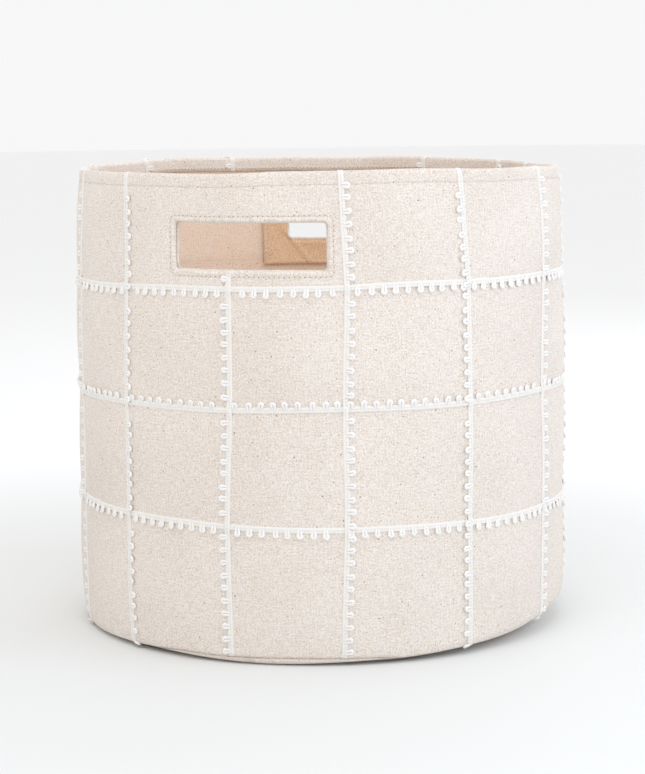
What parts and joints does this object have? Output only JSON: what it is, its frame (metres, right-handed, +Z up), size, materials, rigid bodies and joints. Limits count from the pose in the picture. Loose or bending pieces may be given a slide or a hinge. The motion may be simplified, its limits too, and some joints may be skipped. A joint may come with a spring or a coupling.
{
  "type": "fabric storage bin",
  "caption": "Round open-topped canvas storage bin with a stiffened, lined wall, two cut-out hand grips and a grid of looped picot trim sewn to the outside.",
  "frame": {"origin": "centre of the flat underside, on the surface that the bin stands on", "axes": "+Z up through the open mouth, -Y towards the front hand grip, +X to the right seen from the front"},
  "size_m": [0.3355, 0.3362, 0.3121],
  "materials": {
    "canvas": "natural cotton duck, plain weave with brown and dark seed flecks",
    "lining": "thin plain-weave cotton, warm cream",
    "facing": "natural cotton duck, same cloth as the wall",
    "stiffener": "needled felt interlining, hidden",
    "board": "pressed fibre card, hidden",
    "thread": "spun sewing thread",
    "trim": "cotton gimp tape with picot loops"
  },
  "bodies": {
    "root": {"outer_wall": "canvas", "base_cover": "canvas", "wall_lining": "lining", "base_lining": "lining", "front_handle_facing": "facing", "back_handle_facing": "facing", "wall_stiffener": "stiffener", "base_board": "board", "hem_topstitch_outside": "thread", "hem_topstitch_inside": "thread", "front_window_topstitch": "thread", "back_window_topstitch": "thread", "front_facing_edge_stitch": "thread", "back_facing_edge_stitch": "thread", "upright_trim_01": "trim", "upright_trim_02": "trim", "upright_trim_03": "trim", "upright_trim_04": "trim", "upright_trim_05": "trim", "upright_trim_06": "trim", "upright_trim_07": "trim", "upright_trim_08": "trim", "upright_trim_09": "trim", "upright_trim_10": "trim", "upright_trim_11": "trim", "upright_trim_12": "trim", "upright_trim_13": "trim", "upright_trim_14": "trim", "row_trim_upper": "trim", "row_trim_middle": "trim", "row_trim_lower": "trim"}
  },
  "joints": []
}
